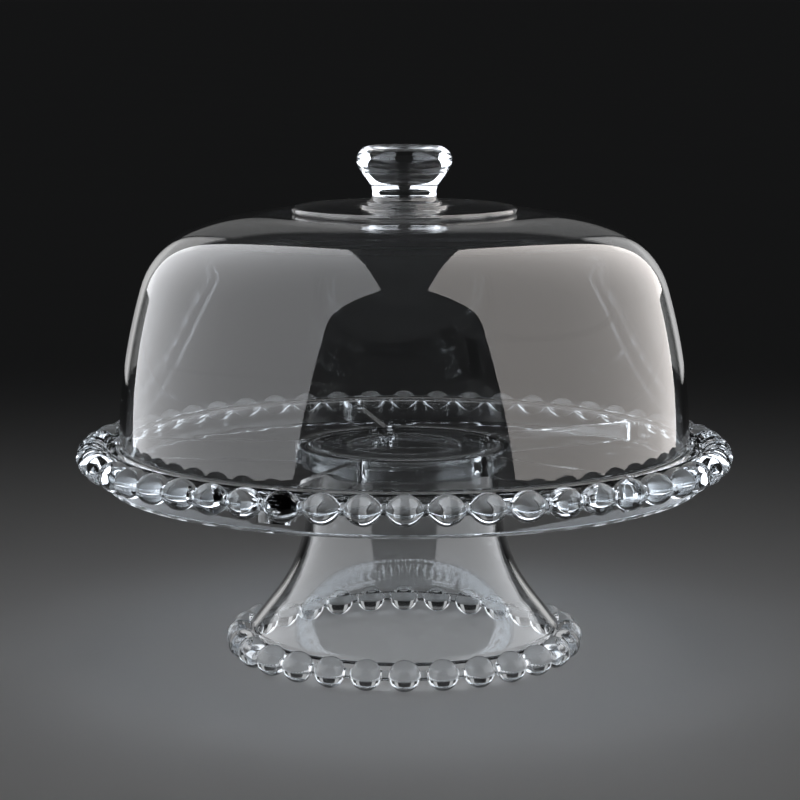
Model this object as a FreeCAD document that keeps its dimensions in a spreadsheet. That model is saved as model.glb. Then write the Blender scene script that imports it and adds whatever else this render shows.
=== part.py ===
import FreeCAD, Part
import math
import os
import re
import Sketcher

# Covered cake stand in pressed clear glass. Millimetres, +Z up, the origin is on
# the ground under the middle of the foot. The stand is three loose pieces on one
# axis: a hollow trumpet pedestal, a tray that locates on it, and a dome that
# stands on the tray. Angles are in degrees.

SIZES = [
    # alias, value, meaning
    ("foot_bead_count", 28, "beads round the foot"),
    ("foot_ring_radius", 76.6, "axis to the foot beads' centres"),
    ("foot_bead_radius", 7.15, "radius of one foot bead"),
    ("foot_bead_height", 7.0, "ground to the foot beads' centres, less than their radius"),
    ("foot_thread_radius", 2.2, "radius of the glass thread that joins the foot beads"),
    ("trumpet_wall", 3.0, "glass thickness of the trumpet"),
    ("trumpet_top_radius", 43.6, "outer radius at the trumpet's top"),
    ("trumpet_top", 94.4, "height of the trumpet's flat top"),
    ("trumpet_top_round", 1.5, "edge round of the trumpet's top"),
    ("trumpet_top_lean", 1.1, "slope of the wall from the vertical at the top"),
    ("waist_radius", 230.0, "hollow curve of the upper wall"),
    ("waist_turn", 8.0, "turn of the upper wall"),
    ("flare_radius", 72.7, "hollow curve of the flare"),
    ("flare_turn", 29.4, "turn of the flare"),
    ("rim_radius", 72.6, "outer radius of the foot rim, where the straight cone below the flare ends"),
    ("rim_round", 2.5, "round shoulder of the foot rim"),
    ("rim_edge", 1.7, "round of the rim's inner lower edge, half the rim's thickness"),
    ("rim_bottom", 10.5, "height of the rim's flat lower edge, which sits on the foot beads' shoulders"),
    ("mouth_radius", 26.5, "radius of the hole in the trumpet's top"),
    ("mouth_flange", 3.5, "thickness of the trumpet's top"),
    ("mouth_fillet", 3.0, "inner fillet under the trumpet's top"),
    ("rest_gap", 0.1, "clearance where a loose piece rests on the next"),
    ("plate_bottom", 94.5, "height of the underside of the tray's plate"),
    ("plate_top", 99.5, "height of the tray's flat top"),
    ("ledge_rise", 1.0, "height of the low ledge that centres the dome, and the round of its outer edge"),
    ("ledge_radius", 133.3, "inner radius of the ledge"),
    ("ledge_slope", 0.8, "width of the ledge's sloping side"),
    ("skirt_radius", 138.5, "outer radius of the tray's skirt"),
    ("skirt_wall", 4.0, "thickness of the skirt"),
    ("skirt_bottom", 81.5, "height of the skirt's lower edge"),
    ("tray_bead_count", 52, "beads round the tray"),
    ("tray_ring_radius", 144.5, "axis to the tray beads' centres"),
    ("tray_bead_height", 95.0, "ground to the tray beads' centres"),
    ("tray_bead_radius", 7.9, "half width of a tray bead, seen from above"),
    ("tray_bead_rise", 7.0, "half height of a tray bead"),
    ("tray_thread_radius", 2.6, "radius of the glass thread that joins the tray beads"),
    ("collar_radius", 47.5, "outer radius of the collar round the trumpet's top"),
    ("collar_wall", 2.7, "thickness of the collar"),
    ("rib_bottom", 84.0, "height of the lower edges of the collar and the dividers"),
    ("divider_count", 5, "dividers between the collar and the skirt"),
    ("divider_thickness", 4.5, "thickness of one divider"),
    ("divider_fillet", 8.0, "fillets between a divider and the collar or the skirt"),
    ("divider_angle", 246.0, "direction of the first divider, counted from +X"),
    ("dome_wall", 2.8, "glass thickness of the dome"),
    ("dome_base_radius", 132.3, "outer radius of the dome at its lip"),
    ("dome_base_lean", 0.9, "slope of the dome's side at the lip"),
    ("dome_side_radius", 272.0, "curve of the dome's side"),
    ("dome_side_turn", 15.4, "turn of the dome's side"),
    ("dome_shoulder_radius", 40.0, "curve of the dome's shoulder"),
    ("dome_shoulder_turn", 52.5, "turn of the dome's shoulder"),
    ("dome_crown_radius", 105.0, "curve of the dome's crown, up to its flat middle"),
    ("disc_radius", 52.0, "radius of the foot disc on the crown"),
    ("disc_thickness", 2.9, "thickness of the foot disc"),
    ("disc_round", 1.3, "edge round of the foot disc"),
    ("knob_base_radius", 20.3, "radius of the knob collar's base ring"),
    ("knob_base_rise", 1.2, "height of the base ring"),
    ("knob_step_radius", 17.3, "radius of the step above the base ring"),
    ("knob_collar_rise", 5.0, "height of the knob collar"),
    ("knob_collar_curve", 3.0, "hollow curve between the step and the neck"),
    ("knob_neck_radius", 14.8, "radius of the knob's neck"),
    ("knob_neck_round", 6.0, "hollow curve between the neck and the flare"),
    ("knob_flare", 36.0, "slope of the knob's flare from the vertical"),
    ("knob_radius", 22.0, "largest radius of the knob"),
    ("knob_round", 6.6, "round of the knob's head"),
    ("knob_rise", 27.8, "height of the knob's rim above the foot disc"),
    ("knob_dish", 1.0, "depth of the shallow dish in the knob's top"),
    ("knob_dish_radius", 11.0, "radius of the dish"),
]

QUARTER_TURN = 90.0
FULL_TURN = 360.0
SHEET = "Sizes"
ALIASES = {alias for alias, value, meaning in SIZES}

doc = FreeCAD.newDocument("cake_stand")
sheet = doc.addObject("Spreadsheet::Sheet", SHEET)
for row, (alias, value, meaning) in enumerate(SIZES, start=1):
    sheet.set(f"A{row}", alias)
    sheet.set(f"B{row}", str(value))
    sheet.set(f"C{row}", meaning)
    sheet.setAlias(f"B{row}", alias)
doc.recompute()


def bound(formula):
    """Point each alias in a formula at its cell of the sheet."""
    return re.sub(
        r"[a-z_]+",
        lambda word: f"{SHEET}.{word[0]}" if word[0] in ALIASES else word[0],
        str(formula),
    )


def number(formula):
    """Present value of a formula."""
    result = sheet.evalExpression(bound(formula))
    return float(getattr(result, "Value", result))


def place_after(place, turn_from, turn_to, radius, side):
    """Formulas for the end of an arc that starts at place and turns from one slope to the next.

    Slopes are from the vertical. The arc's centre is on the axis's side of the wall
    for side "in", and on the far side for side "out".
    """
    across, up = place
    sign = {"in": "+", "out": "-"}[side]
    return (
        f"({across} {sign} {radius} * (cos({turn_to}) - cos({turn_from})))",
        f"({up} {sign} {radius} * (sin({turn_to}) - sin({turn_from})))",
    )


def minor_arc(start, end, radius):
    """Short arc between two places.

    A positive radius bulges to the right of the walk, a negative one to the left.
    """
    chord = end - start
    half = chord.Length / 2
    sagitta = abs(radius) - math.sqrt(max(radius * radius - half * half, 0.0))
    right = FreeCAD.Vector(chord.y, -chord.x, 0)
    right.normalize()
    return Part.Arc(start, (start + end) / 2 + right * math.copysign(sagitta, radius), end)


def origin_part(body, role):
    """One plane or axis of a body's own origin."""
    return [feature for feature in body.Origin.OriginFeatures if feature.Role == role][0]


def new_body(label):
    """Empty body with its own label."""
    body = doc.addObject("PartDesign::Body", label)
    body.Label = label
    return body


def outline(body, name, role, corners):
    """Closed, fully dimensioned sketch on one of the body's origin planes.

    A corner is a pair of formulas, (across, up). A third formula is the radius of the
    arc that leaves the corner: positive bulges to the right of the walk, negative left.
    """
    sketch = body.newObject("Sketcher::SketchObject", name)
    sketch.AttachmentSupport = [(origin_part(body, role), "")]
    sketch.MapMode = "FlatFace"
    places = [FreeCAD.Vector(number(corner[0]), number(corner[1]), 0) for corner in corners]
    ends = []
    for index, corner in enumerate(corners):
        start, end = places[index], places[(index + 1) % len(corners)]
        if len(corner) == 2:
            sketch.addGeometry(Part.LineSegment(start, end))
        else:
            sketch.addGeometry(minor_arc(start, end, number(corner[2])))
        first = sketch.getPoint(index, 1)
        ends.append((1, 2) if (first - start).Length < (first - end).Length else (2, 1))
    for index, corner in enumerate(corners):
        start_of_this = ends[index][0]
        end_of_last = ends[index - 1][1]
        last = (index - 1) % len(corners)
        sketch.addConstraint(Sketcher.Constraint("Coincident", last, end_of_last, index, start_of_this))
        for letter, kind, axis, formula, value in (
            ("across", "DistanceX", -2, corner[0], places[index].x),
            ("up", "DistanceY", -1, corner[1], places[index].y),
        ):
            if formula == "0":
                sketch.addConstraint(Sketcher.Constraint("PointOnObject", index, start_of_this, axis))
                continue
            sketch.addConstraint(Sketcher.Constraint(kind, -1, 1, index, start_of_this, value))
            bind_last(sketch, f"{letter}_{index}", formula)
        if len(corner) == 3:
            sketch.addConstraint(Sketcher.Constraint("Radius", index, abs(number(corner[2]))))
            bind_last(sketch, f"radius_{index}", f"abs({corner[2]})")
    return sketch


def bind_last(sketch, name, formula):
    """Name a sketch's newest constraint and bind it to a formula."""
    sketch.renameConstraint(sketch.ConstraintCount - 1, name)
    sketch.setExpression(f"Constraints.{name}", bound(formula))


def turned(label, corners):
    """Body turned from one closed outline, across the axis and up it."""
    body = new_body(label)
    sketch = outline(body, f"{label}_outline", "XZ_Plane", corners)
    revolution = body.newObject("PartDesign::Revolution", f"{label}_revolution")
    revolution.Profile = sketch
    revolution.ReferenceAxis = (sketch, ["V_Axis"])
    revolution.Angle = FULL_TURN
    sketch.Visibility = False
    return body


def repeated(body, features, count):
    """Repeat features evenly round the body's axis."""
    pattern = body.newObject("PartDesign::PolarPattern", f"{features[0].Name}_pattern")
    pattern.Originals = features
    pattern.Axis = (origin_part(body, "Z_Axis"), [""])
    pattern.Angle = FULL_TURN
    pattern.setExpression("Occurrences", bound(count))
    body.Tip = pattern
    return pattern


def feature_at(body, kind, name, sizes, across, up):
    """PartDesign primitive whose sizes and place are formulas."""
    feature = body.newObject(f"PartDesign::{kind}", name)
    for property_name, formula in sizes.items():
        feature.setExpression(property_name, bound(formula))
    feature.setExpression(".Placement.Base.x", bound(across))
    feature.setExpression(".Placement.Base.z", bound(up))
    return feature


def bead_rim(label, ring_radius, thread_radius, balls, count, height, seat_radius, seat_bottom):
    """Ring of glass beads on a thread, cut back to the round wall that it is pressed against.

    A bead is made of part balls: each is its sizes and its centre's height. The wall
    starts at the height seat_bottom.
    """
    body = new_body(label)
    thread_sizes = {"Radius1": ring_radius, "Radius2": thread_radius}
    feature_at(body, "AdditiveTorus", f"{label}_thread", thread_sizes, "0", height)
    features = [
        feature_at(body, "AdditiveSphere", f"{label}_ball_{index}", sizes, ring_radius, ball_height)
        for index, (sizes, ball_height) in enumerate(balls)
    ]
    doc.recompute()
    repeated(body, features, count)
    doc.recompute()
    seat = feature_at(
        body,
        "SubtractiveCylinder",
        f"{label}_seat",
        {"Radius": seat_radius, "Height": f"2 * {height}"},
        "0",
        seat_bottom,
    )
    body.Tip = seat
    return body


# Pedestal: a hollow trumpet whose wall leans out ever more, and ends as a straight cone.
WAIST_LEAN = "(trumpet_top_lean + waist_turn)"
FLARE_LEAN = "(trumpet_top_lean + waist_turn + flare_turn)"
TRUMPET_EDGE = ("trumpet_top_radius", "(trumpet_top - trumpet_top_round)")
WAIST = place_after(TRUMPET_EDGE, "trumpet_top_lean", WAIST_LEAN, "waist_radius", "out")
FLARE = place_after(WAIST, WAIST_LEAN, FLARE_LEAN, "flare_radius", "out")


def down_the_cone(start, across):
    """Formulas for the place on the straight cone below start that is at the distance across."""
    return (across, f"({start[1]} - ({across} - {start[0]}) / tan({FLARE_LEAN}))")


def inside_wall(place, lean, wall):
    """Formulas for the place straight through a wall that leans from the vertical."""
    return (f"({place[0]} - {wall} * cos({lean}))", f"({place[1]} - {wall} * sin({lean}))")


def make_pedestal_trumpet():
    """Trumpet with a flat top that has a round mouth in it."""
    inner_waist = inside_wall(WAIST, WAIST_LEAN, "trumpet_wall")
    inner_flare = inside_wall(FLARE, FLARE_LEAN, "trumpet_wall")
    inner_top = "(trumpet_top_radius - trumpet_wall)"
    cone_end = down_the_cone(FLARE, f"(rim_radius - rim_round * (1 - cos({FLARE_LEAN})))")
    inner_cone_end = down_the_cone(inner_flare, "(rim_radius - 2 * rim_edge)")
    under_top = "(trumpet_top - mouth_flange)"
    lip = "(mouth_flange / 2)"
    return turned("pedestal_trumpet", [
        (f"mouth_radius + {lip}", "trumpet_top"),
        ("trumpet_top_radius - trumpet_top_round", "trumpet_top", "-trumpet_top_round"),
        (TRUMPET_EDGE[0], TRUMPET_EDGE[1], "waist_radius"),
        (WAIST[0], WAIST[1], "flare_radius"),
        (FLARE[0], FLARE[1]),
        (cone_end[0], cone_end[1], "-rim_round"),
        ("rim_radius", f"{cone_end[1]} - rim_round * sin({FLARE_LEAN})"),
        ("rim_radius", "rim_bottom"),
        ("rim_radius - rim_edge", "rim_bottom", "-rim_edge"),
        (inner_cone_end[0], "rim_bottom + rim_edge"),
        (inner_cone_end[0], inner_cone_end[1]),
        (inner_flare[0], inner_flare[1], "-(flare_radius + trumpet_wall)"),
        (inner_waist[0], inner_waist[1], "-(waist_radius + trumpet_wall)"),
        (inner_top, f"{under_top} - mouth_fillet", "mouth_fillet"),
        (f"{inner_top} - mouth_fillet", under_top),
        (f"mouth_radius + {lip}", under_top, f"-{lip}"),
        ("mouth_radius", f"{under_top} + {lip}", f"-{lip}"),
    ])


def make_pedestal_bead_rim():
    """Foot beads. Each is cut off flat at the ground, so the stand rests on small round faces.

    Above the rim's lower edge their inner side is notched, and the rim sits in the notches.
    """
    flat = "-asin(foot_bead_height / foot_bead_radius)"
    return bead_rim(
        "pedestal_bead_rim",
        "foot_ring_radius",
        "foot_thread_radius",
        [({"Radius": "foot_bead_radius", "Angle1": flat}, "foot_bead_height")],
        "foot_bead_count",
        "foot_bead_height",
        "rim_radius",
        "rim_bottom",
    )


# Tray: a flat plate with a bead rim round it, and a skirt, a collar and dividers below.
def make_tray_disc():
    """Flat plate."""
    return turned("tray_disc", [
        ("0", "plate_bottom"),
        ("0", "plate_top"),
        ("skirt_radius", "plate_top"),
        ("skirt_radius", "plate_bottom"),
    ])


def make_tray_ledge():
    """Low ring on the plate, round the dome's place. Its inner side slopes and its outer edge is round."""
    ledge_top = "(plate_top + ledge_rise)"
    return turned("tray_ledge", [
        ("ledge_radius", "plate_top"),
        ("ledge_radius + ledge_slope", ledge_top),
        ("skirt_radius - ledge_rise", ledge_top, "-ledge_rise"),
        ("skirt_radius", "plate_top"),
    ])


def make_tray_skirt():
    """Upright wall under the plate's edge, with a rounded lower edge."""
    edge = "(skirt_wall / 2)"
    return turned("tray_skirt", [
        ("skirt_radius - skirt_wall", "plate_bottom"),
        ("skirt_radius", "plate_bottom"),
        ("skirt_radius", f"skirt_bottom + {edge}", f"-{edge}"),
        (f"skirt_radius - {edge}", "skirt_bottom", f"-{edge}"),
        ("skirt_radius - skirt_wall", f"skirt_bottom + {edge}"),
    ])


def make_tray_bead_rim():
    """Tray beads, wider than they are tall: an upper and a lower cap that meet in a blunt edge."""
    squares = "(tray_bead_radius * tray_bead_radius + tray_bead_rise * tray_bead_rise)"
    cap = f"({squares} / (2 * tray_bead_rise))"
    drop = f"({cap} - tray_bead_rise)"
    edge = f"asin({drop} / {cap})"
    return bead_rim(
        "tray_bead_rim",
        "tray_ring_radius",
        "tray_thread_radius",
        [
            ({"Radius": cap, "Angle1": edge}, f"tray_bead_height - {drop}"),
            ({"Radius": cap, "Angle2": f"-{edge}"}, f"tray_bead_height + {drop}"),
        ],
        "tray_bead_count",
        "tray_bead_height",
        "skirt_radius",
        "0",
    )


def make_tray_collar():
    """Short tube under the plate that fits loosely round the trumpet's top."""
    edge = "(collar_wall / 2)"
    return turned("tray_collar", [
        ("collar_radius - collar_wall", "plate_bottom"),
        ("collar_radius", "plate_bottom"),
        ("collar_radius", f"rib_bottom + {edge}", f"-{edge}"),
        (f"collar_radius - {edge}", "rib_bottom", f"-{edge}"),
        ("collar_radius - collar_wall", f"rib_bottom + {edge}"),
    ])


def divider_fillet(wall_radius, side):
    """Formulas for one fillet between a divider that runs along +X and a round wall.

    They are the places where the fillet leaves the divider and where it meets the wall,
    on the +Y side. The divider is inside the skirt, side "in", or outside the collar, "out".
    """
    sign = {"in": "-", "out": "+"}[side]
    half = "(divider_thickness / 2)"
    reach = f"({wall_radius} {sign} divider_fillet)"
    beside = f"({half} + divider_fillet)"
    along = f"sqrt({reach} * {reach} - {beside} * {beside})"
    return (along, half), (f"({along} * {wall_radius} / {reach})", f"({beside} * {wall_radius} / {reach})")


def make_tray_dividers():
    """Upright dividers from the collar to the skirt, which widen in large fillets at both ends."""
    body = new_body("tray_dividers")
    skirt_inside = "(skirt_radius - skirt_wall)"
    near_side, near_wall = divider_fillet("collar_radius", "out")
    far_side, far_wall = divider_fillet(skirt_inside, "in")
    sketch = outline(body, "divider_outline", "XY_Plane", [
        (near_wall[0], f"-{near_wall[1]}", "-divider_fillet"),
        (near_side[0], f"-{near_side[1]}"),
        (far_side[0], f"-{far_side[1]}", "-divider_fillet"),
        (far_wall[0], f"-{far_wall[1]}", skirt_inside),
        (far_wall[0], far_wall[1], "-divider_fillet"),
        (far_side[0], far_side[1]),
        (near_side[0], near_side[1], "-divider_fillet"),
        (near_wall[0], near_wall[1], "-collar_radius"),
    ])
    sketch.setExpression(".AttachmentOffset.Base.z", bound("rib_bottom + collar_wall / 2"))
    pad = body.newObject("PartDesign::Pad", "divider_pad")
    pad.Profile = sketch
    pad.setExpression("Length", bound("plate_bottom - rib_bottom - collar_wall / 2"))
    doc.recompute()
    repeated(body, [pad], "divider_count")
    body.setExpression(".Placement.Rotation.Angle", bound("divider_angle"))
    return body


# Dome: a thin shell of three tangent arcs with a flat middle, a foot disc and a knob.
SIDE_LEAN = "(dome_base_lean + dome_side_turn)"
SHOULDER_LEAN = "(dome_base_lean + dome_side_turn + dome_shoulder_turn)"
DOME_BOTTOM = "(plate_top + rest_gap)"
DOME_LIP = ("dome_base_radius", f"({DOME_BOTTOM} + dome_wall / 2)")
SIDE = place_after(DOME_LIP, "dome_base_lean", SIDE_LEAN, "dome_side_radius", "in")
SHOULDER = place_after(SIDE, SIDE_LEAN, SHOULDER_LEAN, "dome_shoulder_radius", "in")
CROWN = place_after(SHOULDER, SHOULDER_LEAN, QUARTER_TURN, "dome_crown_radius", "in")
DISC_TOP = f"({CROWN[1]} + disc_thickness)"
NECK_BOTTOM = f"({DISC_TOP} + knob_collar_rise)"


def make_dome_shell():
    """Dome with a rounded lip, open below."""
    inner_radius = "(dome_base_radius - dome_wall)"
    inner_side = inside_wall(SIDE, SIDE_LEAN, "dome_wall")
    inner_shoulder = inside_wall(SHOULDER, SHOULDER_LEAN, "dome_wall")
    lip = "(dome_wall / 2)"
    return turned("dome_shell", [
        (inner_radius, DOME_LIP[1], "dome_side_radius - dome_wall"),
        (inner_side[0], inner_side[1], "dome_shoulder_radius - dome_wall"),
        (inner_shoulder[0], inner_shoulder[1], "dome_crown_radius - dome_wall"),
        (CROWN[0], f"{CROWN[1]} - dome_wall"),
        ("0", f"{CROWN[1]} - dome_wall"),
        ("0", CROWN[1]),
        (CROWN[0], CROWN[1], "-dome_crown_radius"),
        (SHOULDER[0], SHOULDER[1], "-dome_shoulder_radius"),
        (SIDE[0], SIDE[1], "-dome_side_radius"),
        (DOME_LIP[0], DOME_LIP[1], f"-{lip}"),
        (f"dome_base_radius - {lip}", DOME_BOTTOM, f"-{lip}"),
    ])


def make_dome_foot_disc():
    """Flat disc on the crown. The dome stands on it when it is turned over as a bowl."""
    return turned("dome_foot_disc", [
        ("0", CROWN[1]),
        ("0", DISC_TOP),
        ("disc_radius - disc_round", DISC_TOP, "-disc_round"),
        ("disc_radius", f"{DISC_TOP} - disc_round"),
        ("disc_radius", f"{CROWN[1]} + disc_round", "-disc_round"),
        ("disc_radius - disc_round", CROWN[1]),
    ])


def make_knob_collar():
    """Stepped ring that joins the knob to the disc."""
    return turned("knob_collar", [
        ("0", DISC_TOP),
        ("0", NECK_BOTTOM),
        ("knob_neck_radius", NECK_BOTTOM, "knob_collar_curve"),
        ("knob_step_radius", f"{DISC_TOP} + 2 * knob_base_rise"),
        ("knob_step_radius", f"{DISC_TOP} + knob_base_rise"),
        ("knob_base_radius", f"{DISC_TOP} + knob_base_rise"),
        ("knob_base_radius", DISC_TOP),
    ])


def make_knob():
    """Solid knob: a straight neck, a conical flare, a round head and a shallow dish on top."""
    rim = f"({DISC_TOP} + knob_rise)"
    head = ("(knob_radius - knob_round)", f"({rim} - knob_round)")
    touch = (f"({head[0]} + knob_round * cos(knob_flare))", f"({head[1]} - knob_round * sin(knob_flare))")
    neck_corner = f"({touch[1]} - ({touch[0]} - knob_neck_radius) / tan(knob_flare))"
    reach = "(knob_neck_round * tan(knob_flare / 2))"
    dish_curve = "((knob_dish_radius * knob_dish_radius + knob_dish * knob_dish) / (2 * knob_dish))"
    flare_start = (
        f"(knob_neck_radius + {reach} * sin(knob_flare))",
        f"({neck_corner} + {reach} * cos(knob_flare))",
    )
    return turned("knob", [
        ("0", NECK_BOTTOM),
        ("0", f"{rim} - knob_dish", dish_curve),
        ("knob_dish_radius", rim),
        (head[0], rim, "-knob_round"),
        ("knob_radius", head[1], "-knob_round"),
        (touch[0], touch[1]),
        (flare_start[0], flare_start[1], "knob_neck_round"),
        ("knob_neck_radius", f"{neck_corner} - {reach}"),
        ("knob_neck_radius", NECK_BOTTOM),
    ])


pieces = [
    make_pedestal_trumpet(),
    make_pedestal_bead_rim(),
    make_tray_disc(),
    make_tray_ledge(),
    make_tray_skirt(),
    make_tray_bead_rim(),
    make_tray_collar(),
    make_tray_dividers(),
    make_dome_shell(),
    make_dome_foot_disc(),
    make_knob_collar(),
    make_knob(),
]
doc.recompute()

for item in doc.Objects:
    if "Invalid" in item.State or "Error" in item.State:
        raise RuntimeError(f"{item.Label} failed to recompute: {item.State}")
for piece in pieces:
    if piece.Shape.isNull() or not piece.Shape.isValid():
        raise RuntimeError(f"{piece.Label} has no valid shape")

os.makedirs("parts", exist_ok=True)
for piece in pieces:
    box = piece.Shape.optimalBoundingBox()
    print(
        f"{piece.Label}: {len(piece.Shape.Solids)} solid(s), {piece.Shape.Volume / 1000:.1f} cm3, "
        f"r {max(box.XMax, box.YMax):.2f}, z {box.ZMin:.2f} to {box.ZMax:.2f}"
    )
    piece.Shape.exportStep(f"parts/{piece.Label}.step")
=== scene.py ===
import math

import bmesh
import bpy
from mathutils import Matrix, Vector


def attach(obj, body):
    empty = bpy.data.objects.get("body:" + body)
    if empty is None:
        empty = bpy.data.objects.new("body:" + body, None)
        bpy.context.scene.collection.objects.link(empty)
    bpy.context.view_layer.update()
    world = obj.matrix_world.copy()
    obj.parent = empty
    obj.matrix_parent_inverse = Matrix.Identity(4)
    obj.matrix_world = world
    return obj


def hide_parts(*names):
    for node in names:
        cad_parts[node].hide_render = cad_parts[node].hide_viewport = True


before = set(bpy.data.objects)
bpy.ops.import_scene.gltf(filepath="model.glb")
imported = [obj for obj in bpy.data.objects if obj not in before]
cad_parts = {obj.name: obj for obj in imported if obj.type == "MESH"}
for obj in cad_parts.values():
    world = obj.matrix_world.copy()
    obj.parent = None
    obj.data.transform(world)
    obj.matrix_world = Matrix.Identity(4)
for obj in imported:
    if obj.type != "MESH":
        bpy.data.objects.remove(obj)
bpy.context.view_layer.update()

# Metres, +Z up, the camera looks along +Y. Outlines are walked in pairs, (across, up):
# the distance from the axis and the height. Slopes are from the vertical, in radians.
MM = 0.001
FULL_TURN = 2 * math.pi
QUARTER_TURN = math.pi / 2

# Fineness of the meshes
LATHE_STEPS = 288
ARC_STEP = math.radians(6)
LONGEST_FACE = 4 * MM
BLUNTING_STEPS = 4
BEAD_STEP = math.radians(7.5)
BEAD_END = math.radians(75)
BEAD_SECTION_STEPS = 36
CREASE = math.radians(28)
ON_AXIS = 0.001 * MM
EDGE_BLUNTING = 0.3 * MM

# How deep a part is sunk in the glass that it is joined to
SEAT_DEPTH = 1.5 * MM

# Pedestal: a hollow trumpet on a ring of round beads
FOOT_BEADS = 28
FOOT_RING = 76.6 * MM
FOOT_BEAD = 7.15 * MM
FOOT_BEAD_HEIGHT = 7.0 * MM
FOOT_BEAD_POWER = 2.0
FOOT_THREAD = 2.2 * MM
TRUMPET_WALL = 3.0 * MM
TRUMPET_TOP_RADIUS = 43.6 * MM
TRUMPET_TOP = 94.4 * MM
TRUMPET_TOP_ROUND = 1.5 * MM
TRUMPET_TOP_LEAN = math.radians(1.1)
WAIST_CURVE = 230 * MM
WAIST_LEAN = math.radians(9.1)
FLARE_CURVE = 72.7 * MM
FLARE_LEAN = math.radians(38.5)
RIM_RADIUS = 72.6 * MM
RIM_ROUND = 2.5 * MM
RIM_EDGE = 1.7 * MM
RIM_BOTTOM = 10.5 * MM
RIM_BLUNTING = 1 * MM
MOUTH_RADIUS = 26.5 * MM
MOUTH_FLANGE = 3.5 * MM
MOUTH_FILLET = 3.0 * MM

# Tray: a plate with a skirt, a bead rim, a collar and dividers
PLATE_BOTTOM = 94.5 * MM
PLATE_TOP = 99.5 * MM
LEDGE_RISE = 1.0 * MM
LEDGE_RADIUS = 133.3 * MM
LEDGE_SLOPE = 0.8 * MM
SKIRT_RADIUS = 138.5 * MM
SKIRT_WALL = 4.0 * MM
SKIRT_BOTTOM = 81.5 * MM
SKIRT_FILLET = 2 * MM
TRAY_BEADS = 52
TRAY_RING = 144.5 * MM
TRAY_BEAD_HEIGHT = 95.0 * MM
TRAY_BEAD = 7.85 * MM
TRAY_BEAD_RISE = 7.0 * MM
TRAY_BEAD_POWER = 1.88
TRAY_THREAD = 2.6 * MM
COLLAR_RADIUS = 47.5 * MM
COLLAR_WALL = 2.7 * MM
COLLAR_FILLET = 1 * MM
RIB_BOTTOM = 84.0 * MM
DIVIDERS = 5
DIVIDER_THICKNESS = 4.5 * MM
DIVIDER_FILLET = 8 * MM
DIVIDER_ANGLE = math.radians(246)

# Dome: a thin shell with a foot disc and a knob
REST_GAP = 0.1 * MM
DOME_WALL = 2.8 * MM
DOME_RADIUS = 132.3 * MM
DOME_LEAN = math.radians(0.9)
SIDE_CURVE = 272 * MM
SIDE_LEAN = math.radians(16.3)
SHOULDER_CURVE = 40 * MM
SHOULDER_LEAN = math.radians(68.8)
CROWN_CURVE = 105 * MM
DISC_RADIUS = 52 * MM
DISC_THICKNESS = 2.9 * MM
DISC_ROUND = 1.3 * MM
KNOB_BASE_RADIUS = 20.3 * MM
KNOB_BASE_RISE = 1.2 * MM
KNOB_STEP_RADIUS = 17.3 * MM
KNOB_COLLAR_RISE = 5.0 * MM
KNOB_COLLAR_CURVE = 3.0 * MM
KNOB_NECK = 14.8 * MM
KNOB_NECK_ROUND = 6.0 * MM
KNOB_FLARE = math.radians(36)
KNOB_RADIUS = 22 * MM
KNOB_ROUND = 6.6 * MM
KNOB_RISE = 27.8 * MM
KNOB_DISH = 1.0 * MM
KNOB_DISH_RADIUS = 11 * MM
KNOB_DISH_BLUNTING = 1 * MM
BOND_GAP = 0.05 * MM

# How far the knob's top stays inside the CAD's box
TOP_INSET = 0.005 * MM

# Glass: how it bends light, and how fine its clouds of tint and polish are
GLASS_IOR = 1.5
CLOUD_SCALE = 14.0
CLOUD_DETAIL = 2.0
WAVE_DETAIL = 1.0
POLISHED_BELOW = 0.45
DULLEST_ABOVE = 0.75
DULLEST_ROUGHNESS = 0.03

# Floor
FLOOR_REACH = 60.0
FLOOR_GAP = 0.1 * MM
FLOOR_ROUGHNESS = 0.6
FLOOR_CLOUD_SCALE = 3.0
FLOOR_GREY = (0.68, 0.685, 0.69, 1)
FLOOR_PALE_GREY = (0.72, 0.72, 0.72, 1)

# Tall panels beside the stand. A lean of 1 would be 45 degrees.
PANEL_DISTANCE = 0.55
PANEL_LEAN = 0.37
PANEL_FRONT = -0.65
PANEL_PARTS = (
    # name, lower edge, upper edge, rear edge
    ("low", 0.0, 0.2, 0.42),
    ("high", 0.2, 1.08, 0.6),
)
COOL = (0.86, 0.92, 1.0)
FAINTLY_COOL = (0.96, 0.97, 1.0)
WARM = (1.0, 0.95, 0.92)
PANEL_LIGHTS = (
    # glass that it lights, radiance on the left and on the right, tint on the left and on the
    # right, whether it shows as gloss, whether it shows through the glass
    ("thick", (3.2, 3.6), (COOL, COOL), False, True),
    ("foot", (1.5, 1.7), (FAINTLY_COOL, FAINTLY_COOL), True, True),
    ("thin", (3.0, 3.6), (FAINTLY_COOL, WARM), True, False),
)

# Dim strips far behind the stand
STRIP_RADIANCE = 0.5
STRIPS = (
    # name, middle, width, height, share of the radiance
    ("strip_left", (-0.52, 1.1, 0.3), 0.3, 0.9, 1),
    ("strip_right", (0.52, 1.1, 0.3), 0.3, 0.9, 1),
    ("strip_top", (0, 1.1, 0.56), 0.7, 0.4, 0.25),
)

# Soft light above the stand, and the dark room
TOP_PLACE = (0, -0.15, 1.3)
TOP_SIZE = 0.6
TOP_SPREAD = math.radians(70)
TOP_SHADED_RADIANCE = 0.14
TOP_OPEN_RADIANCE = 0.22
ROOM_TINT = (0.95, 0.97, 1.0, 1)
ROOM_RADIANCE = 0.01

# Camera: its lens and sensor are in millimetres
CAMERA_PLACE = (-0.002, -1.230, 0.309)
CAMERA_PITCH = math.radians(8.78)
CAMERA_LENS = 120.4
CAMERA_SENSOR = 36
FARTHEST_SIGHT = 200

# How often light is followed on from one surface to the next
LIGHT_BOUNCES = 24
GLOSS_BOUNCES = 8


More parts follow.
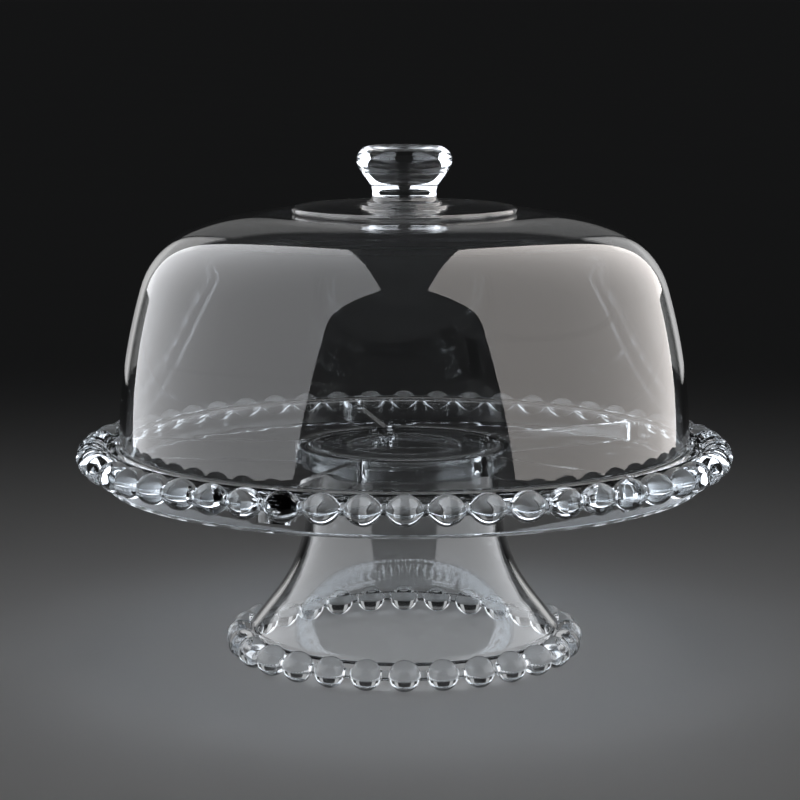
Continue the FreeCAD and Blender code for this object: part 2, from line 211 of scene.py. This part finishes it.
def bent(start, end, radius):
    """Points from start towards end, without the end itself: straight for radius 0, else an arc.

    A positive radius bulges to the right of the walk, a negative one to the left.
    """
    chord = end - start
    if not radius:
        count = max(1, math.ceil(chord.length / LONGEST_FACE))
        return [start.lerp(end, step / count) for step in range(count)]
    half = chord.length / 2
    depth = math.sqrt(max(radius * radius - half * half, 0.0))
    left = Vector((-chord.y, chord.x)).normalized()
    centre = (start + end) / 2 + left * math.copysign(depth, radius)
    turn = math.copysign(2 * math.asin(min(1.0, half / abs(radius))), radius)
    count = max(3, math.ceil(abs(turn) / ARC_STEP), math.ceil(abs(turn * radius) / LONGEST_FACE))
    return [centre + Matrix.Rotation(turn * step / count, 2) @ (start - centre) for step in range(count)]


def blunted(before, corner, after, reach):
    """Points that take the sharpness off a corner, as far as reach along both of its sides."""
    start = corner.lerp(before, min(0.5, reach / (before - corner).length))
    end = corner.lerp(after, min(0.5, reach / (after - corner).length))
    points = []
    for step in range(BLUNTING_STEPS + 1):
        share = step / BLUNTING_STEPS
        points.append(start.lerp(corner, share).lerp(corner.lerp(end, share), share))
    return points


def outline(corners, ring=False):
    """Points of an outline, which is a closed loop for a ring and else runs from axis to axis.

    A corner is (across, up, bend, blunting). The bend is the radius of the arc that leaves
    the corner, and both it and the blunting may be left out.
    """
    places = [Vector(corner[:2]) for corner in corners]
    stretches = []
    for index, corner in enumerate(corners):
        if index == len(corners) - 1 and not ring:
            stretches.append([places[index]])
            continue
        bend = corner[2] if len(corner) > 2 else 0
        stretches.append(bent(places[index], places[(index + 1) % len(corners)], bend))
    points = []
    for index, corner in enumerate(corners):
        stretch = stretches[index]
        if len(corner) < 4:
            points += stretch
            continue
        before = stretches[index - 1][-1]
        after = (stretch + [stretches[(index + 1) % len(corners)][0]])[1]
        points += blunted(before, stretch[0], after, corner[3]) + stretch[1:]
    return points


def arc_end(start, slope_from, slope_to, radius, side):
    """Where an arc of a wall ends that is centred towards the axis, side 1, or away from it, side -1."""
    return start + side * radius * Vector((
        math.cos(slope_to) - math.cos(slope_from),
        math.sin(slope_to) - math.sin(slope_from),
    ))


def inside(place, slope, wall):
    """The place straight through a wall from a place on its outer side."""
    return place - wall * Vector((math.cos(slope), math.sin(slope)))


def down_the_cone(start, across):
    """The place on the foot's straight cone below start that is at the distance across."""
    return Vector((across, start.y - (across - start.x) / math.tan(FLARE_LEAN)))


def new_piece(name, mesh_builder, material):
    """Object of a finished bmesh, with its faces turned outwards."""
    bmesh.ops.recalc_face_normals(mesh_builder, faces=mesh_builder.faces)
    mesh = bpy.data.meshes.new(name)
    mesh_builder.to_mesh(mesh)
    mesh_builder.free()
    mesh.materials.append(material)
    piece = bpy.data.objects.new(name, mesh)
    bpy.context.scene.collection.objects.link(piece)
    return piece


def lathe(name, points, material, ring=False):
    """Piece turned about the axis from an outline."""
    builder = bmesh.new()
    rows = []
    for point in points:
        if point.x < ON_AXIS:
            rows.append([builder.verts.new((0, 0, point.y))])
            continue
        rows.append([
            builder.verts.new(
                Matrix.Rotation(FULL_TURN * step / LATHE_STEPS, 3, "Z") @ Vector((point.x, 0, point.y))
            )
            for step in range(LATHE_STEPS)
        ])
    pairs = list(zip(rows, rows[1:]))
    if ring:
        pairs.append((rows[-1], rows[0]))
    for lower, upper in pairs:
        for step in range(LATHE_STEPS):
            after = (step + 1) % LATHE_STEPS
            if len(lower) == 1:
                builder.faces.new((lower[0], upper[after], upper[step]))
            elif len(upper) == 1:
                builder.faces.new((lower[step], lower[after], upper[0]))
            else:
                builder.faces.new((lower[step], lower[after], upper[after], upper[step]))
    return new_piece(name, builder, material)


def soft_larger(first, second, width):
    """The larger of two sizes, with a smooth passage where they are within width of each other."""
    overlap = max(width - abs(first - second), 0.0)
    return max(first, second) + overlap * overlap / (4 * width)


def bead_chain(name, material, count, ring, height, bead, rise, power, thread, seat):
    """Ring of glass beads on a thread, as one closed tube that swells at each bead.

    A bead is round seen from above. Its upright section has half width bead, half height
    rise, and is an ellipse for power 2 and nearer to a diamond below that. The seat is the
    least distance from the axis, and the height above which it counts.
    """
    pitch = FULL_TURN / count
    steps = round(BEAD_END / BEAD_STEP)
    turns = [-pitch / 2]
    turns += [math.asin(bead * math.sin(BEAD_STEP * step) / ring) for step in range(-steps, steps + 1)]
    builder = bmesh.new()
    rows = []
    for index in range(count):
        for turn in turns:
            away = min(abs(ring * math.sin(turn)) / bead, 1.0)
            swell = math.sqrt(1 - away * away)
            wide = soft_larger(bead * swell, thread, thread / 2)
            tall = soft_larger(rise * (1 - away ** power) ** (1 / power), thread, thread / 2)
            centre = ring * (1 - swell * (1 - math.cos(turn)))
            row = []
            for step in range(BEAD_SECTION_STEPS):
                angle = FULL_TURN * step / BEAD_SECTION_STEPS
                across = math.copysign(abs(math.cos(angle)) ** (2 / power), math.cos(angle))
                up = math.copysign(abs(math.sin(angle)) ** (2 / power), math.sin(angle))
                place = Vector((centre + wide * across, 0, max(height + tall * up, 0.0)))
                if place.z > seat[1]:
                    place.x = max(place.x, seat[0])
                row.append(builder.verts.new(Matrix.Rotation(index * pitch + turn, 3, "Z") @ place))
            rows.append(row)
    for row, after in zip(rows, rows[1:] + rows[:1]):
        for step in range(BEAD_SECTION_STEPS):
            beside = (step + 1) % BEAD_SECTION_STEPS
            builder.faces.new((row[step], row[beside], after[beside], after[step]))
    return new_piece(name, builder, material)


def unite(piece, others):
    """Join other closed meshes to a piece, so that no walls are left inside the glass."""
    for other in others:
        joint = piece.modifiers.new("union", "BOOLEAN")
        joint.operation = "UNION"
        joint.solver = "MANIFOLD"
        joint.material_mode = "TRANSFER"
        joint.object = other
        joined = piece.evaluated_get(bpy.context.evaluated_depsgraph_get())
        result = bpy.data.meshes.new_from_object(joined)
        piece.modifiers.clear()
        piece.data = result
        bpy.data.objects.remove(other)
    return piece


def finish_glass(piece, body, nodes):
    """Smooth shading with creases, and the piece's place in the assembly."""
    piece.data.shade_smooth()
    piece.data.set_sharp_from_angle(angle=CREASE)
    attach(piece, body)
    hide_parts(*nodes)


# Materials
def glass(name, tint, deep_tint, waviness, wave_size):
    """Clear glass with a faint uneven tint and polish, and the slow waves that pressing leaves."""
    material = bpy.data.materials.new(name)
    material.use_nodes = True
    nodes = material.node_tree.nodes
    links = material.node_tree.links
    shader = nodes["Principled BSDF"]
    shader.inputs["IOR"].default_value = GLASS_IOR
    shader.inputs["Transmission Weight"].default_value = 1.0
    place = nodes.new("ShaderNodeTexCoord")
    clouds = nodes.new("ShaderNodeTexNoise")
    clouds.inputs["Scale"].default_value = CLOUD_SCALE
    clouds.inputs["Detail"].default_value = CLOUD_DETAIL
    links.new(place.outputs["Object"], clouds.inputs["Vector"])
    tints = nodes.new("ShaderNodeMix")
    tints.data_type = "RGBA"
    tints.inputs["A"].default_value = tint
    tints.inputs["B"].default_value = deep_tint
    links.new(clouds.outputs["Fac"], tints.inputs["Factor"])
    links.new(tints.outputs["Result"], shader.inputs["Base Color"])
    polish = nodes.new("ShaderNodeMapRange")
    polish.inputs["From Min"].default_value = POLISHED_BELOW
    polish.inputs["From Max"].default_value = DULLEST_ABOVE
    polish.inputs["To Min"].default_value = 0.0
    polish.inputs["To Max"].default_value = DULLEST_ROUGHNESS
    links.new(clouds.outputs["Fac"], polish.inputs["Value"])
    links.new(polish.outputs["Result"], shader.inputs["Roughness"])
    waves = nodes.new("ShaderNodeTexNoise")
    waves.inputs["Scale"].default_value = 1 / wave_size
    waves.inputs["Detail"].default_value = WAVE_DETAIL
    links.new(place.outputs["Object"], waves.inputs["Vector"])
    bump = nodes.new("ShaderNodeBump")
    bump.inputs["Strength"].default_value = 1.0
    bump.inputs["Distance"].default_value = waviness
    links.new(waves.outputs["Fac"], bump.inputs["Height"])
    links.new(bump.outputs["Normal"], shader.inputs["Normal"])
    return material


dome_material = glass(
    "dome_glass_clear", tint=(0.985, 0.99, 0.992, 1), deep_tint=(0.97, 0.978, 0.982, 1),
    waviness=0.05 * MM, wave_size=50 * MM,
)
plate_material = glass(
    "tray_glass_clear", tint=(0.98, 0.987, 0.99, 1), deep_tint=(0.96, 0.972, 0.978, 1),
    waviness=0.08 * MM, wave_size=30 * MM,
)
bead_material = glass(
    "bead_glass_cool", tint=(0.955, 0.972, 0.985, 1), deep_tint=(0.93, 0.952, 0.97, 1),
    waviness=0.05 * MM, wave_size=6 * MM,
)
knob_material = glass(
    "knob_glass_clear", tint=(0.98, 0.985, 0.99, 1), deep_tint=(0.965, 0.973, 0.98, 1),
    waviness=0.03 * MM, wave_size=20 * MM,
)


# Pedestal
def make_pedestal():
    """Hollow trumpet, open below, with a round mouth in its flat top and beads round its rim."""
    edge = Vector((TRUMPET_TOP_RADIUS, TRUMPET_TOP - TRUMPET_TOP_ROUND))
    waist = arc_end(edge, TRUMPET_TOP_LEAN, WAIST_LEAN, WAIST_CURVE, -1)
    flare = arc_end(waist, WAIST_LEAN, FLARE_LEAN, FLARE_CURVE, -1)
    inner_waist = inside(waist, WAIST_LEAN, TRUMPET_WALL)
    inner_flare = inside(flare, FLARE_LEAN, TRUMPET_WALL)
    inner_top = TRUMPET_TOP_RADIUS - TRUMPET_WALL
    cone_end = down_the_cone(flare, RIM_RADIUS - RIM_ROUND * (1 - math.cos(FLARE_LEAN)))
    inner_cone_end = down_the_cone(inner_flare, RIM_RADIUS - 2 * RIM_EDGE)
    under_top = TRUMPET_TOP - MOUTH_FLANGE
    lip = MOUTH_FLANGE / 2
    trumpet = lathe("glass_pedestal", outline([
        (MOUTH_RADIUS + lip, TRUMPET_TOP),
        (TRUMPET_TOP_RADIUS - TRUMPET_TOP_ROUND, TRUMPET_TOP, -TRUMPET_TOP_ROUND),
        (edge.x, edge.y, WAIST_CURVE),
        (waist.x, waist.y, FLARE_CURVE),
        (flare.x, flare.y),
        (cone_end.x, cone_end.y, -RIM_ROUND),
        (RIM_RADIUS, cone_end.y - RIM_ROUND * math.sin(FLARE_LEAN)),
        (RIM_RADIUS, RIM_BOTTOM),
        (RIM_RADIUS - RIM_EDGE, RIM_BOTTOM, -RIM_EDGE),
        (inner_cone_end.x, RIM_BOTTOM + RIM_EDGE),
        (inner_cone_end.x, inner_cone_end.y, 0, RIM_BLUNTING),
        (inner_flare.x, inner_flare.y, -(FLARE_CURVE + TRUMPET_WALL)),
        (inner_waist.x, inner_waist.y, -(WAIST_CURVE + TRUMPET_WALL)),
        (inner_top, under_top - MOUTH_FILLET, MOUTH_FILLET),
        (inner_top - MOUTH_FILLET, under_top),
        (MOUTH_RADIUS + lip, under_top, -lip),
        (MOUTH_RADIUS, under_top + lip, -lip),
    ], ring=True), plate_material, ring=True)
    beads = bead_chain(
        "foot_beads", bead_material, FOOT_BEADS, FOOT_RING, FOOT_BEAD_HEIGHT,
        FOOT_BEAD, FOOT_BEAD, FOOT_BEAD_POWER, FOOT_THREAD, (RIM_RADIUS - SEAT_DEPTH / 2, RIM_BOTTOM),
    )
    unite(trumpet, [beads])
    finish_glass(trumpet, "pedestal", ["pedestal_trumpet", "pedestal_bead_rim"])
    return trumpet


# Tray
def divider_fillet(wall_radius, side):
    """Where a fillet leaves the divider, and where it meets the skirt, side -1, or the collar, side 1."""
    half = DIVIDER_THICKNESS / 2
    reach = wall_radius + side * DIVIDER_FILLET
    beside = half + DIVIDER_FILLET
    along = math.sqrt(reach * reach - beside * beside)
    return Vector((along, half)), Vector((along, beside)) * wall_radius / reach


def divider(angle):
    """Upright divider from the collar to the skirt, with its ends and its top sunk in their glass."""
    near_side, near_wall = divider_fillet(COLLAR_RADIUS, 1)
    far_side, far_wall = divider_fillet(SKIRT_RADIUS - SKIRT_WALL, -1)
    near_end = near_wall.x - SEAT_DEPTH
    far_end = far_wall.x + SEAT_DEPTH
    plan = outline([
        (near_end, -near_wall.y),
        (near_wall.x, -near_wall.y, -DIVIDER_FILLET),
        (near_side.x, -near_side.y),
        (far_side.x, -far_side.y, -DIVIDER_FILLET),
        (far_wall.x, -far_wall.y),
        (far_end, -far_wall.y),
        (far_end, far_wall.y),
        (far_wall.x, far_wall.y, -DIVIDER_FILLET),
        (far_side.x, far_side.y),
        (near_side.x, near_side.y, -DIVIDER_FILLET),
        (near_wall.x, near_wall.y),
        (near_end, near_wall.y),
    ], ring=True)
    builder = bmesh.new()
    turn = Matrix.Rotation(angle, 3, "Z")
    low, high = [
        [builder.verts.new(turn @ Vector((point.x, point.y, height))) for point in plan]
        for height in (RIB_BOTTOM + COLLAR_WALL / 2, PLATE_BOTTOM + SEAT_DEPTH)
    ]
    for index in range(len(plan)):
        after = (index + 1) % len(plan)
        builder.faces.new((low[index], low[after], high[after], high[index]))
    builder.faces.new(low)
    builder.faces.new(high)
    return new_piece("divider", builder, plate_material)


def make_tray():
    """Plate with a ledge, beads round its rim, and a skirt, a collar and five dividers under it."""
    ledge_top = PLATE_TOP + LEDGE_RISE
    skirt_edge = SKIRT_WALL / 2
    collar_edge = COLLAR_WALL / 2
    tray = lathe("glass_tray", outline([
        (0, PLATE_TOP),
        (LEDGE_RADIUS, PLATE_TOP, 0, EDGE_BLUNTING),
        (LEDGE_RADIUS + LEDGE_SLOPE, ledge_top, 0, EDGE_BLUNTING),
        (SKIRT_RADIUS - LEDGE_RISE, ledge_top, -LEDGE_RISE),
        (SKIRT_RADIUS, PLATE_TOP),
        (SKIRT_RADIUS, SKIRT_BOTTOM + skirt_edge, -skirt_edge),
        (SKIRT_RADIUS - skirt_edge, SKIRT_BOTTOM, -skirt_edge),
        (SKIRT_RADIUS - SKIRT_WALL, SKIRT_BOTTOM + skirt_edge),
        (SKIRT_RADIUS - SKIRT_WALL, PLATE_BOTTOM, 0, SKIRT_FILLET),
        (COLLAR_RADIUS, PLATE_BOTTOM, 0, COLLAR_FILLET),
        (COLLAR_RADIUS, RIB_BOTTOM + collar_edge, -collar_edge),
        (COLLAR_RADIUS - collar_edge, RIB_BOTTOM, -collar_edge),
        (COLLAR_RADIUS - COLLAR_WALL, RIB_BOTTOM + collar_edge),
        (COLLAR_RADIUS - COLLAR_WALL, PLATE_BOTTOM, 0, EDGE_BLUNTING),
        (0, PLATE_BOTTOM),
    ]), plate_material)
    beads = bead_chain(
        "tray_beads", bead_material, TRAY_BEADS, TRAY_RING, TRAY_BEAD_HEIGHT,
        TRAY_BEAD, TRAY_BEAD_RISE, TRAY_BEAD_POWER, TRAY_THREAD, (SKIRT_RADIUS - SEAT_DEPTH, 0),
    )
    dividers = [divider(DIVIDER_ANGLE + FULL_TURN * index / DIVIDERS) for index in range(DIVIDERS)]
    unite(tray, [beads] + dividers)
    nodes = ["tray_disc", "tray_ledge", "tray_skirt", "tray_bead_rim", "tray_collar", "tray_dividers"]
    finish_glass(tray, "tray", nodes)
    return tray


# Dome and knob
DOME_BOTTOM = PLATE_TOP + REST_GAP
LIP = Vector((DOME_RADIUS, DOME_BOTTOM + DOME_WALL / 2))
SIDE = arc_end(LIP, DOME_LEAN, SIDE_LEAN, SIDE_CURVE, 1)
SHOULDER = arc_end(SIDE, SIDE_LEAN, SHOULDER_LEAN, SHOULDER_CURVE, 1)
CROWN = arc_end(SHOULDER, SHOULDER_LEAN, QUARTER_TURN, CROWN_CURVE, 1)
DISC_TOP = CROWN.y + DISC_THICKNESS
NECK_BOTTOM = DISC_TOP + KNOB_COLLAR_RISE


def make_dome():
    """Thin shell with a rounded lip, a foot disc on its crown and the stepped collar under the knob."""
    inner_side = inside(SIDE, SIDE_LEAN, DOME_WALL)
    inner_shoulder = inside(SHOULDER, SHOULDER_LEAN, DOME_WALL)
    lip = DOME_WALL / 2
    dome = lathe("glass_dome", outline([
        (0, CROWN.y - DOME_WALL),
        (CROWN.x, CROWN.y - DOME_WALL, -(CROWN_CURVE - DOME_WALL)),
        (inner_shoulder.x, inner_shoulder.y, -(SHOULDER_CURVE - DOME_WALL)),
        (inner_side.x, inner_side.y, -(SIDE_CURVE - DOME_WALL)),
        (DOME_RADIUS - DOME_WALL, LIP.y, lip),
        (DOME_RADIUS - lip, DOME_BOTTOM, lip),
        (LIP.x, LIP.y, SIDE_CURVE),
        (SIDE.x, SIDE.y, SHOULDER_CURVE),
        (SHOULDER.x, SHOULDER.y, CROWN_CURVE),
        (CROWN.x, CROWN.y),
        (DISC_RADIUS - DISC_ROUND, CROWN.y, DISC_ROUND),
        (DISC_RADIUS, CROWN.y + DISC_ROUND),
        (DISC_RADIUS, DISC_TOP - DISC_ROUND, DISC_ROUND),
        (DISC_RADIUS - DISC_ROUND, DISC_TOP),
        (KNOB_BASE_RADIUS, DISC_TOP, 0, EDGE_BLUNTING),
        (KNOB_BASE_RADIUS, DISC_TOP + KNOB_BASE_RISE, 0, 2 * EDGE_BLUNTING),
        (KNOB_STEP_RADIUS, DISC_TOP + KNOB_BASE_RISE, 0, EDGE_BLUNTING),
        (KNOB_STEP_RADIUS, DISC_TOP + 2 * KNOB_BASE_RISE, -KNOB_COLLAR_CURVE, EDGE_BLUNTING),
        (KNOB_NECK, NECK_BOTTOM, 0, EDGE_BLUNTING),
        (0, NECK_BOTTOM),
    ]), dome_material)
    finish_glass(dome, "dome", ["dome_shell", "dome_foot_disc", "knob_collar"])
    return dome


def make_knob():
    """Solid knob: a straight neck, a conical flare, a round head and a shallow dish on top."""
    rim = DISC_TOP + KNOB_RISE - TOP_INSET
    head = Vector((KNOB_RADIUS - KNOB_ROUND, rim - KNOB_ROUND))
    touch = head + KNOB_ROUND * Vector((math.cos(KNOB_FLARE), -math.sin(KNOB_FLARE)))
    corner = touch.y - (touch.x - KNOB_NECK) / math.tan(KNOB_FLARE)
    reach = KNOB_NECK_ROUND * math.tan(KNOB_FLARE / 2)
    flare = Vector((KNOB_NECK, corner)) + reach * Vector((math.sin(KNOB_FLARE), math.cos(KNOB_FLARE)))
    dish_curve = (KNOB_DISH_RADIUS ** 2 + KNOB_DISH ** 2) / (2 * KNOB_DISH)
    bottom = NECK_BOTTOM + BOND_GAP
    knob = lathe("glass_knob", outline([
        (0, bottom),
        (KNOB_NECK, bottom, 0, EDGE_BLUNTING),
        (KNOB_NECK, corner - reach, -KNOB_NECK_ROUND),
        (flare.x, flare.y),
        (touch.x, touch.y, KNOB_ROUND),
        (KNOB_RADIUS, head.y, KNOB_ROUND),
        (head.x, rim),
        (KNOB_DISH_RADIUS, rim, -dish_curve, KNOB_DISH_BLUNTING),
        (0, rim - KNOB_DISH),
    ]), knob_material)
    finish_glass(knob, "dome", ["knob"])
    return knob


# Studio
def make_floor():
    """Plain pale floor with a faint unevenness, wide enough to reach the horizon."""
    builder = bmesh.new()
    builder.faces.new([
        builder.verts.new((FLOOR_REACH * x, FLOOR_REACH * y, -FLOOR_GAP))
        for x, y in ((-1, -1), (1, -1), (1, 1), (-1, 1))
    ])
    material = bpy.data.materials.new("floor_pale")
    material.use_nodes = True
    nodes = material.node_tree.nodes
    links = material.node_tree.links
    shader = nodes["Principled BSDF"]
    shader.inputs["Roughness"].default_value = FLOOR_ROUGHNESS
    place = nodes.new("ShaderNodeTexCoord")
    noise = nodes.new("ShaderNodeTexNoise")
    noise.inputs["Scale"].default_value = FLOOR_CLOUD_SCALE
    links.new(place.outputs["Object"], noise.inputs["Vector"])
    shades = nodes.new("ShaderNodeMix")
    shades.data_type = "RGBA"
    shades.inputs["A"].default_value = FLOOR_GREY
    shades.inputs["B"].default_value = FLOOR_PALE_GREY
    links.new(noise.outputs["Fac"], shades.inputs["Factor"])
    links.new(shades.outputs["Result"], shader.inputs["Base Color"])
    floor = new_piece("floor", builder, material)
    return floor


def softbox(name, place, facing, width, height, radiance, spread=math.pi):
    """Soft rectangular light. Its power follows from its size and its brightness."""
    light = bpy.data.lights.new(name, "AREA")
    light.shape = "RECTANGLE"
    light.size = width
    light.size_y = height
    light.spread = spread
    light.energy = radiance * math.pi * width * height
    lamp = bpy.data.objects.new(name, light)
    lamp.location = place
    lamp.rotation_euler = Vector(facing).to_track_quat("-Z", "Y").to_euler()
    lamp.visible_camera = False
    bpy.context.scene.collection.objects.link(lamp)
    return lamp


def collection_of(name, pieces):
    """Collection that a light can be linked to."""
    collection = bpy.data.collections.new(name)
    for piece in pieces:
        collection.objects.link(piece)
    return collection


def make_side_light(name, side, radiance, tint, pieces, gloss, through):
    """Tall panel on one side, -1 or 1, that leans in over the stand and lights only some pieces.

    It shows as gloss on their outer faces, or through the glass, or both.
    """
    lean = Vector((-side * PANEL_LEAN, 0, 1))
    inward = Vector((-side, 0, -PANEL_LEAN))
    for part, low, high, rear in PANEL_PARTS:
        middle = Vector((side * PANEL_DISTANCE, (PANEL_FRONT + rear) / 2, 0)) + lean * (low + high) / 2
        tall = (high - low) * lean.length
        lamp = softbox(f"{name}_{part}", middle, inward, rear - PANEL_FRONT, tall, radiance)
        lamp.data.color = tint
        lamp.light_linking.receiver_collection = pieces
        lamp.visible_glossy = gloss
        lamp.visible_transmission = through


def make_top_light(name, radiance, pieces, blockers):
    """Soft light above the stand that lights only some pieces and is shaded only by the blockers."""
    lamp = softbox(name, TOP_PLACE, (0, 0, -1), TOP_SIZE, TOP_SIZE, radiance, TOP_SPREAD)
    lamp.light_linking.receiver_collection = pieces
    lamp.light_linking.blocker_collection = blockers
    lamp.visible_glossy = False
    lamp.visible_transmission = False


def make_back_light(pieces):
    """Strips beside and above the picture that draw the outlines of some pieces."""
    for name, middle, width, height, share in STRIPS:
        lamp = softbox(name, middle, (0, -1, 0), width, height, STRIP_RADIANCE * share)
        lamp.light_linking.receiver_collection = pieces


def make_light(pedestal, tray, dome, knob, floor):
    """Panels beside the stand, strips behind it, a soft light above it, and a dark room.

    The panels' brightness is set for each kind of glass. The part of the top light that isn't
    shaded stands for the light that clear glass lets through to the floor.
    """
    glasses = {
        "thick": collection_of("thick_glass", [tray, knob]),
        "foot": collection_of("foot_glass", [pedestal]),
        "thin": collection_of("thin_glass", [dome]),
    }
    everything = collection_of("everything", [pedestal, tray, dome, knob, floor])
    floor_only = collection_of("floor_only", [floor])
    for kind, radiances, tints, gloss, through in PANEL_LIGHTS:
        for side, where, radiance, tint in zip((-1, 1), ("left", "right"), radiances, tints):
            make_side_light(f"panel_{where}_{kind}", side, radiance, tint, glasses[kind], gloss, through)
    make_back_light(collection_of("outlined_glass", [pedestal, dome]))
    make_top_light("softbox_top_shaded", TOP_SHADED_RADIANCE, everything, everything)
    make_top_light("softbox_top_open", TOP_OPEN_RADIANCE, floor_only, floor_only)
    world = bpy.data.worlds.new("studio")
    world.use_nodes = True
    background = world.node_tree.nodes["Background"]
    background.inputs["Color"].default_value = ROOM_TINT
    background.inputs["Strength"].default_value = ROOM_RADIANCE
    bpy.context.scene.world = world
    bpy.context.scene.view_settings.view_transform = "Standard"


def make_camera():
    """Camera a little above the tray, as far off as the picture's perspective asks."""
    camera_data = bpy.data.cameras.new("camera")
    camera_data.lens = CAMERA_LENS
    camera_data.sensor_width = CAMERA_SENSOR
    camera_data.clip_end = FARTHEST_SIGHT
    camera = bpy.data.objects.new("camera", camera_data)
    camera.location = CAMERA_PLACE
    camera.rotation_euler = (QUARTER_TURN - CAMERA_PITCH, 0, 0)
    bpy.context.scene.collection.objects.link(camera)
    bpy.context.scene.camera = camera


make_light(make_pedestal(), make_tray(), make_dome(), make_knob(), make_floor())
make_camera()
bpy.context.scene.cycles.max_bounces = LIGHT_BOUNCES
bpy.context.scene.cycles.transmission_bounces = LIGHT_BOUNCES
bpy.context.scene.cycles.glossy_bounces = GLOSS_BOUNCES
bpy.context.view_layer.update()
